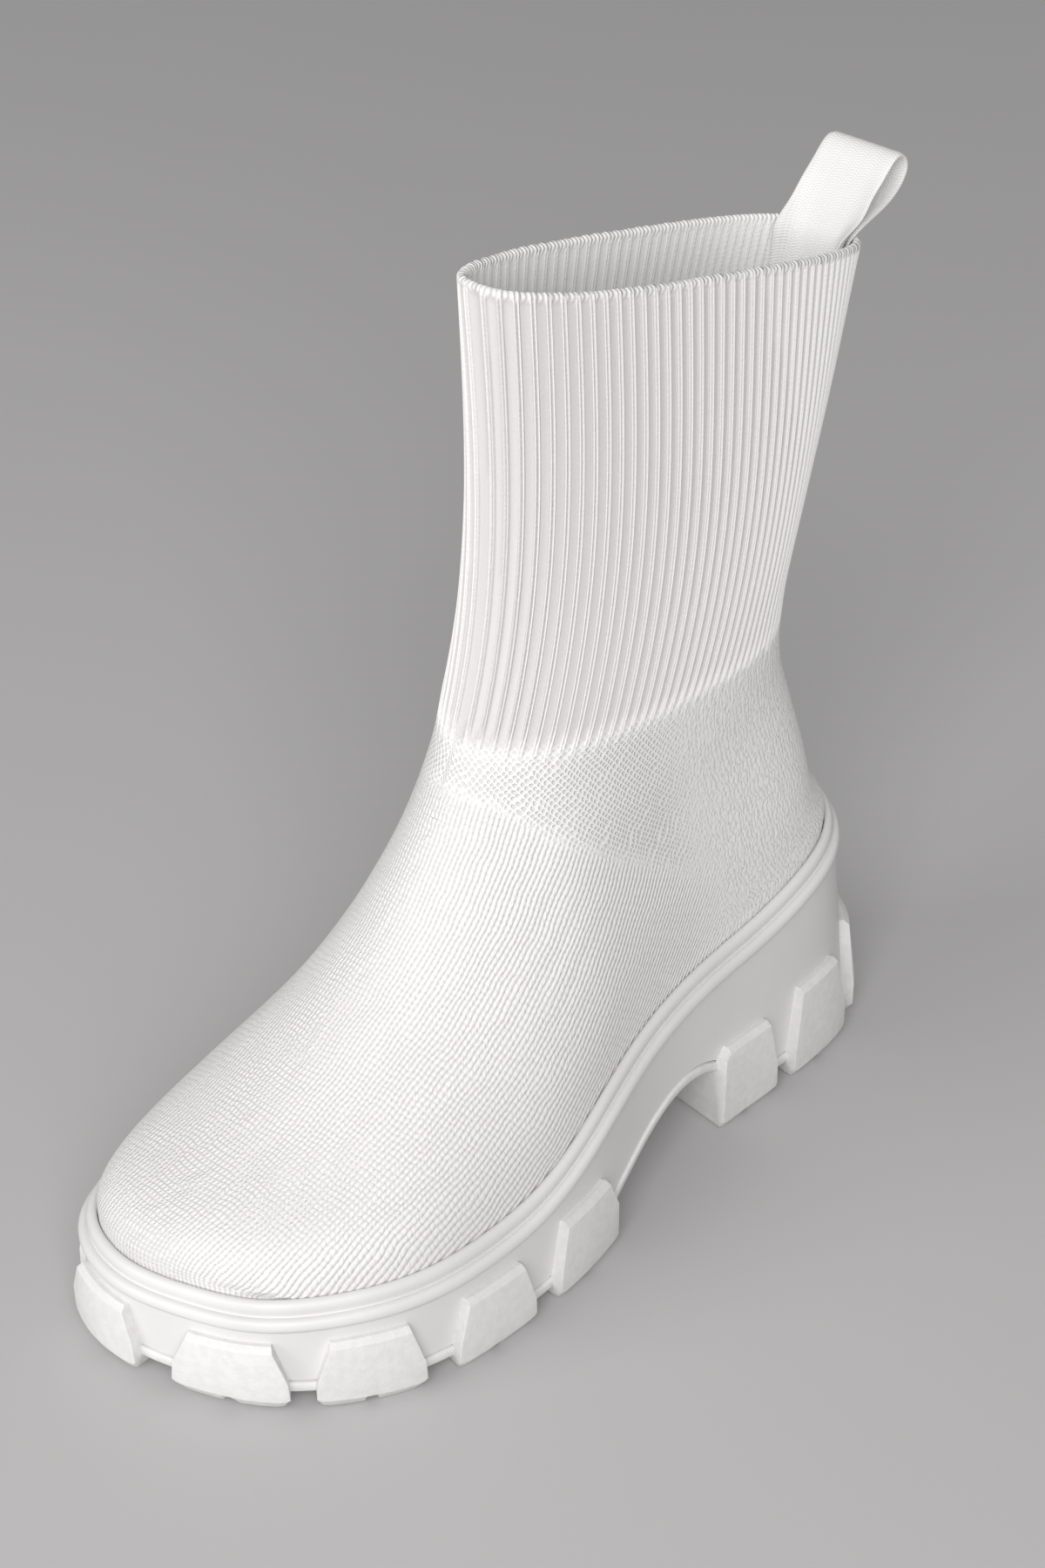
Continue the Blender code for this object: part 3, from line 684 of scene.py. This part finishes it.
def knit_surface(shares, heights):
    """The upper's outer surface at shares of its rise, from the sole to the collar."""
    ridge = ridge_line()
    rings = []
    for number, row in enumerate(KNIT_RINGS):
        if number < SOLE_RINGS:
            flat = wall_loop(shares, -WELT_WIDTH - FIT_GAP, 1.0)
            height = np.ravel(feather_height(flat[:, 1])) + row[1] - FEATHER_FRONT
        else:
            flat = knit_ring(row, shares, ridge)
            height = ring_height(row, flat[:, 1])
        rings.append(np.column_stack([flat, height]))
    rings = np.array(rings)
    way = way_along(rings[:, 0])
    even = np.linspace(0, 1, len(rings))
    knots = (1 - RING_EVENNESS) * way / way[-1] + RING_EVENNESS * even
    lines = spline(knots, rings.reshape(len(rings), -1))
    places = np.linspace(0, 1, FINE_ROWS)
    rows = lines(places)
    hold = ramp(places, knots[SOLE_RINGS - 1], knots[SOLE_RINGS])[1:-1, None]
    for _ in range(EVEN_ROUNDS):
        rows[1:-1] += hold * ((rows[:-2] + rows[2:]) / 4 - rows[1:-1] / 2)
    return spline(places, rows)(heights).reshape(len(heights), len(rings[0]), 3)


def grid_normals(grid):
    """Outward unit normals of a grid of rings."""
    along = np.roll(grid, -1, axis=1) - np.roll(grid, 1, axis=1)
    rise = np.gradient(grid, axis=0)
    normal = np.cross(rise, along)
    normal /= np.linalg.norm(normal, axis=2)[:, :, None]
    middle = grid.mean(axis=1, keepdims=True)
    away = ((grid - middle) * normal)[len(grid) // 2].sum()
    return normal * np.sign(away)


def rib_columns():
    """Shares along one side of every rib column, and the rise of each."""
    steps = [(k + share, rise) for k in range(RIBS_PER_SIDE) for share, rise in RIB_PROFILE]
    turn = np.array([step[0] for step in steps] + [RIBS_PER_SIDE])
    rise = np.array([step[1] for step in steps] + [0.0])
    fine = np.linspace(0, 1, 2000)
    pitch = RIB_PITCH - RIB_TIGHTENING * ramp(fine, *RIB_TIGHTENS)
    count = np.concatenate([[0], np.cumsum(np.diff(fine) / pitch[1:])])
    count *= RIBS_PER_SIDE / count[-1]
    shares = np.interp(turn, count, fine)
    return shares, rise, turn


def ridge_lines(grid):
    """Wale and course of each point: the way round from the boot's ridge, and along it."""
    ridge = at_shares(grid[:, 0], np.linspace(0, 1, 300))
    way = way_along(ridge)
    points = grid.reshape(-1, 3)
    gap = np.full(len(points), np.inf)
    near = np.zeros(len(points), int)
    for i, spot in enumerate(ridge):
        distance = np.hypot(points[:, 1] - spot[1], points[:, 2] - spot[2])
        closer = distance < gap
        gap[closer] = distance[closer]
        near[closer] = i
    across = points[:, 0] - ridge[near, 0]
    wale = np.hypot(across, gap) * np.sign(across) / WALE_PITCH
    course = way[near] / COURSE_PITCH
    return wale.reshape(grid.shape[:2]), course.reshape(grid.shape[:2])


def knit_zones(grid):
    """How far each point belongs to the ribs, the eyelet band and the plain heel."""
    side, station, height = np.moveaxis(grid, 2, 0)
    rib = ramp(height, RIB_END_HEIGHT - RIB_END_FADE, RIB_END_HEIGHT + RIB_END_FADE)
    border = np.interp(station, *zip(*EYELET_BORDER))
    eyelet = ramp(height - border, -BORDER_FADE, BORDER_FADE) * (1 - ramp(station, *HEEL_KNIT))
    plain = ramp(station + 0.25 * (height - 100), *HEEL_KNIT)
    inner = ramp(side, *INNER_EYELETS)
    toe_top = ramp(station, *TOE_EYELET_STATIONS) * ramp(height, *TOE_EYELET_HEIGHTS)
    opened = np.maximum(inner, toe_top)
    return rib, eyelet, plain, opened


def rim_rows(outer, inner, normals):
    """Rows that roll over the collar edge, from the outer face to the inner face."""
    rows = []
    middle = (outer + inner) / 2
    half = np.linalg.norm(outer - inner, axis=1)[:, None] / 2
    for angle in (30, 60, 90, 120, 150):
        turn = math.radians(angle)
        lift = np.array([0, 0, 1.0])
        rows.append(middle + normals * half * math.cos(turn) + lift * half * math.sin(turn))
    return rows


def way_round(grid):
    """Of each point, the way round its row from the back of the boot, in millimetres."""
    steps = np.linalg.norm(np.roll(grid, -1, axis=1) - grid, axis=2)
    way = np.cumsum(steps, axis=1) - steps
    back = grid.shape[1] // 2
    return np.abs(way - way[:, back : back + 1])


def upper_rows():
    """Shares of the rise where the rows lie, closer at the ribs' end and the rim."""
    places = [np.linspace(0, 1, 66), np.linspace(0.56, 0.76, 40), np.linspace(0.985, 1, 6)]
    heights = np.unique(np.concatenate(places))
    return heights[np.concatenate([[True], np.diff(heights) > 1e-3])]


def make_upper():
    """The knit sock: ribbed shaft inside and out, rolled collar edge, fine knit below."""
    shares, rise, turn = rib_columns()
    base = knit_surface(shares, upper_rows())
    normals = grid_normals(base)
    rib, eyelet, plain, opened = knit_zones(base)
    wale, course = ridge_lines(base)
    rises = np.concatenate([rise, rise[-2:0:-1]])
    under_rim = np.linalg.norm(base - base[-1], axis=2)
    bead = 1 - ramp(under_rim, 0.4, RIM_BEAD)
    lifted = np.maximum(rises[None], 0.6 * bead)
    softer = 1 - 0.5 * ramp(base[:, :, 1], 195, 250)
    relief = RIB_RELIEF * rib * softer * (lifted - 0.5)
    outer = base + normals * relief[..., None]
    inside = base - normals * (KNIT_WALL + 0.35 * relief)[..., None]
    picks = np.arange(len(base) - 1, -1, -2)
    if picks[-1] != 0:
        picks = np.append(picks, 0)
    rim = rim_rows(outer[-1], inside[-1], normals[-1])
    rows = list(outer) + rim + list(inside[picks])
    order = list(range(len(base))) + [-1] * len(rim) + list(picks)

    def spread(values):
        return np.array([values[i] for i in order])

    within = np.zeros((len(order), len(rises)))
    within[len(base) + len(rim) // 2 :] = 1.0
    marks = {
        "wale": spread(wale),
        "course": spread(course),
        "rib_zone": spread(rib),
        "eyelet_zone": spread(eyelet),
        "plain_zone": spread(plain),
        "open_zone": spread(opened),
        "rim_zone": spread(bead),
        "ridge": spread(1 - rib * softer * (1 - lifted)),
        "round_way": spread(way_round(base)),
        "up_way": spread(base[:, :, 2]),
        "inside": within,
    }
    points = np.array(rows).reshape(-1, 3)
    faces = ring_faces(len(rows), len(rows[0]), closed_rows=True)
    return mesh_piece("knit_upper", points, faces, marks, smooth_angle=60)


def collar_arc(grid, row, depth, sides):
    """Stations and heights inside the back of the collar, at some sides."""
    ring = grid[row]
    plan = ring[:, :2] - outward(ring[:, :2]) * depth
    back = ring[:, 1] > ring[:, 1].mean()
    order = np.argsort(plan[back, 0])
    across = plan[back, 0][order]
    return np.column_stack(
        [
            np.interp(sides, across, plan[back, 1][order]),
            np.interp(sides, across, ring[back, 2][order]),
        ]
    )


def loop_line(sides):
    """The middle surface of the folded webbing, as rows of points across it."""
    grid = knit_surface(np.linspace(0, 1, 85), np.linspace(0, 1, 78))
    first = KNIT_WALL + STRAP_SLACK + STRAP_THICK / 2
    second = first + STRAP_THICK + FIT_GAP
    down = [-1 - 2 * step for step in range(STRAP_TAIL_ROWS)]
    curved = sides * STRAP_CURL
    behind = [collar_arc(grid, row, first, curved) for row in down]
    ahead = [collar_arc(grid, row, second, curved) for row in down]
    rim = behind[0]
    middle = rim[len(sides) // 2]
    bow = []
    for back, up, curve in LOOP_PATH:
        bow.append(middle + (back, up) + (rim - middle) * curve)
    rows = behind[::-1] + bow + ahead
    spread = [curved] * len(behind) + [sides] * len(bow) + [curved] * len(ahead)
    return np.array([np.column_stack([x, row]) for x, row in zip(spread, rows)])


def make_loop():
    """The pull loop: woven tape with rounded, slightly thicker edges."""
    across = np.linspace(-1, 1, LOOP_COLUMNS)
    sides = across * STRAP_WIDTH / 2
    rows = loop_line(sides)
    way = way_along(rows[:, len(sides) // 2])
    smooth = spline(way, rows.reshape(len(rows), -1))
    places = np.linspace(0, way[-1], LOOP_ROWS)
    middle = smooth(places).reshape(len(places), len(sides), 3)
    along = np.gradient(middle, axis=0)
    over = np.gradient(middle, axis=1)
    normal = np.cross(along, over)
    normal /= np.linalg.norm(normal, axis=2)[..., None]
    half = STRAP_THICK / 2 * np.sqrt(np.clip(1 - np.abs(across) ** 14, 0.02, 1))
    half = half * (0.88 + 0.12 * ramp(np.abs(across), 0.8, 0.9))
    top = middle + normal * half[None, :, None]
    under = (middle - normal * half[None, :, None])[:, ::-1]
    loops = np.concatenate([top, under], axis=1)
    size = loops.shape[1]
    faces = ring_faces(len(loops), size)
    for first in (0, (len(loops) - 1) * size):
        faces.append(tuple(range(first, first + size)))
    lateral = np.concatenate([sides, sides[::-1]])
    marks = {
        "across": np.tile(lateral, (len(loops), 1)),
        "along": np.tile(places[:, None], (1, size)),
    }
    return mesh_piece("loop_webbing", loops.reshape(-1, 3), faces, marks, smooth_angle=50)


def solid_of_loops(name, loops, angle, capped=True):
    """A closed body through some loops, capped, or joined last to first."""
    size = len(loops[0])
    points = np.concatenate(loops)
    faces = ring_faces(len(loops), size, closed_rows=not capped)
    if capped:
        faces += cap_faces(0, SIDE_STEPS, size)
        faces += cap_faces((len(loops) - 1) * size, SIDE_STEPS, size)
    return mesh_piece(name, points, faces, smooth_angle=angle)


FOOTBED_EDGE = (
    # way in from the knit, height over the welt's seat
    (0.0, 0.3),
    (0.0, 2.2),
    (0.3, 2.8),
    (1.0, 3.2),
    (2.5, 3.3),
)


def make_footbed():
    """The footbed, with a softly rolled edge."""
    inset = WELT_WIDTH + KNIT_WALL + 4 * FIT_GAP
    loops = []
    for step_in, lift in FOOTBED_EDGE:
        loop = wall_loop(EVEN_SHARES, -inset - step_in, 1.0)
        loops.append(raised(loop, lambda s, lift=lift: feather_height(s) - WELT_SEAT + lift))
    return solid_of_loops("footbed", loops, angle=60)


WELT_SECTION = (
    # outward offset, height over the welt's foot
    (-WELT_WIDTH, 0.3),
    (0.5, 0.3),
    (1.0, 0.5),
    (1.3, 1.1),
    (1.35, 1.9),
    (1.15, 2.8),
    (0.7, 3.5),
    (0.0, 3.9),
    (-0.7, 3.9),
    (-1.2, 3.7),
    (-1.4, 3.9),
    (-1.35, 4.5),
    (-1.15, 5.3),
    (-1.1, 6.1),
    (-1.3, 6.9),
    (-1.8, 7.6),
    (-2.5, 8.0),
    (-3.3, 8.0),
    (-WELT_WIDTH, 7.5),
)


def make_welt():
    """The strip round the top of the sole: two smooth beads and a groove."""
    loops = []
    for offset, lift in WELT_SECTION:
        loop = wall_loop(EVEN_SHARES, offset, 1.0)
        loops.append(raised(loop, lambda s, lift=lift: rim_foot(s) + lift))
    return solid_of_loops("welt_beads", loops, angle=60, capped=False)


# The wall's foot edge is rounded by this much up, and twice as much in.
FOOT_ROUNDING = 0.25


def make_platform():
    """The smooth side wall, flared at the heel and cut away under the arch."""
    loops = [raised(wall_loop(EVEN_SHARES, -2 * FOOT_ROUNDING), foot_height)]
    for rise in np.linspace(0, 1, 9):
        loop = wall_loop(EVEN_SHARES, rise=rise)
        height = np.ravel(foot_height(loop[:, 1])) * (1 - rise)
        height = height + np.ravel(rim_foot(loop[:, 1])) * rise
        if rise == 0:
            height = height + FOOT_ROUNDING
        loops.append(np.column_stack([loop, height]))
    seat = -WELT_WIDTH - FIT_GAP
    loops.append(raised(wall_loop(EVEN_SHARES, seat, 1.0), rim_foot))
    top = wall_loop(EVEN_SHARES, seat - FIT_GAP, 1.0)
    loops.append(raised(top, lambda s: feather_height(s) - WELT_SEAT))
    return solid_of_loops("platform_wall", loops, angle=30)


SHEET_EDGE = (
    # outward offset, way down from the wall's foot
    (0.0, 3.3),
    (0.5, 3.15),
    (0.8, 2.8),
    (0.8, 0.8),
    (0.6, 0.45),
    (0.2, 0.3),
)


def make_tread_sheet():
    """The thin sheet under the platform, whose rounded edge shows as a fine lip."""
    loops = []
    for offset, drop in SHEET_EDGE:
        loop = wall_loop(EVEN_SHARES, offset)
        loops.append(raised(loop, lambda s, d=drop: foot_height(s) - d))
    return solid_of_loops("tread_sheet", loops, angle=60)


# A lug starts this far inside the wall's face, and its edges are rounded.
LUG_SINK = -0.1
LUG_ROUNDING = 0.9

LUG_SECTION = (
    # outward offset, share of foot width, height is measured from, height over it
    (-PLATE_LIP, 1.0, "foot", -FIT_GAP - PLATE_THICK / 2),
    (LUG_SINK, 0.98, "foot", -FIT_GAP / 2),
    (LUG_SINK, LUG_TOP_SHARE, "top", 0.0),
    (1.6, LUG_TOP_SHARE, "top", 0.3),
    (3.2, LUG_TOP_SHARE + 0.02, "top", -1.2),
    (LUG_REACH, 0.97, "foot", 2.0),
    (LUG_REACH - 0.2, 1.0, "floor", 3.5),
    (LUG_REACH - 2.6, 0.96, "floor", 0.0),
    (None, LUG_INNER_SHARE, "floor", 0.0),
    (None, LUG_INNER_SHARE, "foot", -FIT_GAP - PLATE_THICK / 2),
)

# The faces that close a lug's end, as corners of the section above.
LUG_END = ((2, 3, 4), (1, 2, 4, 5), (0, 1, 5, 6), (0, 6, 7), (0, 7, 8, 9))

LUG_COLUMNS = (
    # share of the half width, height of the notch there, lift of the foot's corner
    (-1.0, 0.0, 2.0),
    (-0.93, 0.0, 0.5),
    (-0.8, 0.0, 0.0),
    (-0.55, 0.0, 0.0),
    (-0.3, 0.0, 0.0),
    (-0.14, 0.0, 0.0),
    (-0.04, NOTCH_HEIGHT, 0.0),
    (0.04, NOTCH_HEIGHT, 0.0),
    (0.14, 0.0, 0.0),
    (0.3, 0.0, 0.0),
    (0.55, 0.0, 0.0),
    (0.8, 0.0, 0.0),
    (0.93, 0.0, 0.5),
    (1.0, 0.0, 2.0),
)


class SoleEdge:
    """The wall's foot as one line of distance from the toe tip, both ways."""

    def __init__(self):
        outer, inner = dense_sides()
        self.line = np.vstack([inner[:0:-1], outer])
        way = way_along(self.line)
        self.way = way - way_along(inner)[-1]
        self.round = way[-1]

    def spot(self, along):
        """The point at a distance, and the outward direction there."""
        along = (along - self.way[0]) % self.round + self.way[0]
        near = [np.interp(along + step, self.way, c) for step in (-1, 1) for c in self.line.T]
        middle = np.array([np.interp(along, self.way, c) for c in self.line.T])
        run = np.array([near[2] - near[0], near[3] - near[1]])
        run /= np.linalg.norm(run)
        return middle, np.array([run[1], -run[0]]), run


def lug_point(edge, along, across, offset):
    """Outside, a lug follows the wall. Under the sole it runs straight in."""
    if offset > -1:
        middle, normal, _ = edge.spot(along + across)
        return middle + normal * offset
    middle, normal, run = edge.spot(along)
    return middle + normal * offset + run * across


def lug_shape(edge, sign, along, width, top, depth):
    """Points and faces of one lug, with its notch and rounded foot corners."""
    points = []
    for column, notch, corner in LUG_COLUMNS:
        for offset, share, base, over in LUG_SECTION:
            offset = -depth if offset is None else offset
            across = column * share * width / 2
            spot = lug_point(edge, sign * along, across, offset)
            foot = float(foot_height(spot[1])[0, 0])
            lift = float(toe_lift(spot[1]))
            z = {"foot": foot, "top": top, "floor": lift}[base] + over
            if offset > -1:
                rise = max(z - foot, 0) / (float(rim_foot(spot[1])[0, 0]) - foot)
                spot = drawn_in(spot[None], rise)[0]
            if base == "floor":
                z += corner * (1.0 if over == 0.0 else 0.4)
                z += notch if over == 0.0 else 0.0
            points.append((*spot, z))
    size = len(LUG_SECTION)
    faces = ring_faces(len(LUG_COLUMNS), size)
    for first in (0, (len(LUG_COLUMNS) - 1) * size):
        faces += [tuple(first + corner for corner in face) for face in LUG_END]
    return points, faces


def make_lugs():
    """All the lugs as one mesh, with rounded edges."""
    edge = SoleEdge()
    points, faces = [], []
    for _, *sizes in LUGS:
        own_points, own_faces = lug_shape(edge, *sizes)
        first = len(points)
        points += own_points
        faces += [tuple(first + corner for corner in face) for face in own_faces]
    lugs = mesh_piece("lugs", points, faces, smooth_angle=60)
    bevel = lugs.modifiers.new("rounded_edges", "BEVEL")
    bevel.width = LUG_ROUNDING * MM
    bevel.segments = 3
    bevel.limit_method = "ANGLE"
    bevel.angle_limit = math.radians(28)
    return lugs


def make_boot():
    knit = knit_material()
    webbing = webbing_material()
    lining = footbed_material()
    foam = sole_material()
    rubber = tread_material()
    dress(make_upper(), "upper", knit)
    dress(make_loop(), "pull_loop", webbing)
    dress(make_footbed(), "insole", lining)
    dress(make_welt(), "welt", foam)
    dress(make_platform(), "midsole", foam)
    dress(make_tread_sheet(), "outsole", rubber)
    dress(make_lugs(), "outsole", rubber)


def make_floor():
    """A wide pale floor, so that its edge never shows."""
    size = 12.0
    mesh = bpy.data.meshes.new("floor")
    corners = [(-size, -size, 0), (size, -size, 0), (size, size, 0), (-size, size, 0)]
    mesh.from_pydata(corners, [], [(0, 1, 2, 3)])
    floor = bpy.data.objects.new("floor", mesh)
    bpy.context.scene.collection.objects.link(floor)
    g = Graph("floor_grey", 0.9)
    g.colour(g.noise(3.0, 2.0), *FLOOR_COLOURS)
    mesh.materials.append(g.material)


LIGHTS = (
    # name, place, aim, width, watts, colour
    ("key", (-0.6, -1.9, 0.85), (0, 0, 0.1), 1.3, 16.8, (1, 0.993, 0.985)),
    ("fill", (1.15, -1.35, 1.25), (0, 0, 0.12), 1.4, 33.0, (1, 0.99, 0.985)),
)
WORLD_COLOUR = (1.0, 0.99, 0.985, 1)
WORLD_STRENGTH = 0.34


def soft_light(name, where, target, width, power, colour):
    light = bpy.data.lights.new(name, "AREA")
    light.shape = "RECTANGLE"
    light.size = width
    light.size_y = width
    light.energy = power
    light.color = colour
    lamp = bpy.data.objects.new(name, light)
    lamp.location = where
    lamp.rotation_euler = (Vector(where) - Vector(target)).to_track_quat("Z", "Y").to_euler()
    bpy.context.scene.collection.objects.link(lamp)


def make_light():
    """A soft key from the left of the picture, and an even fill by the camera."""
    for row in LIGHTS:
        soft_light(*row)
    world = bpy.data.worlds.new("studio")
    world.use_nodes = True
    shade = world.node_tree.nodes["Background"]
    shade.inputs["Color"].default_value = WORLD_COLOUR
    shade.inputs["Strength"].default_value = WORLD_STRENGTH
    bpy.context.scene.world = world
    bpy.context.scene.view_settings.view_transform = "Standard"


CAMERA_PLACE = (0.5312, -0.5648, 0.6254)
CAMERA_AIM = (-0.001, 0.004, 0.122)
CAMERA_LENS = 79.0


def make_camera():
    """The photograph's own viewpoint, turned a little to centre the one boot."""
    camera = bpy.data.cameras.new("camera")
    camera.lens = CAMERA_LENS
    camera.sensor_width = 36.0
    camera.clip_start = 0.01
    holder = bpy.data.objects.new("camera", camera)
    holder.location = CAMERA_PLACE
    aim = Vector(CAMERA_PLACE) - Vector(CAMERA_AIM)
    holder.rotation_euler = aim.to_track_quat("Z", "Y").to_euler()
    bpy.context.scene.collection.objects.link(holder)
    bpy.context.scene.camera = holder


make_boot()
make_floor()
make_light()
make_camera()
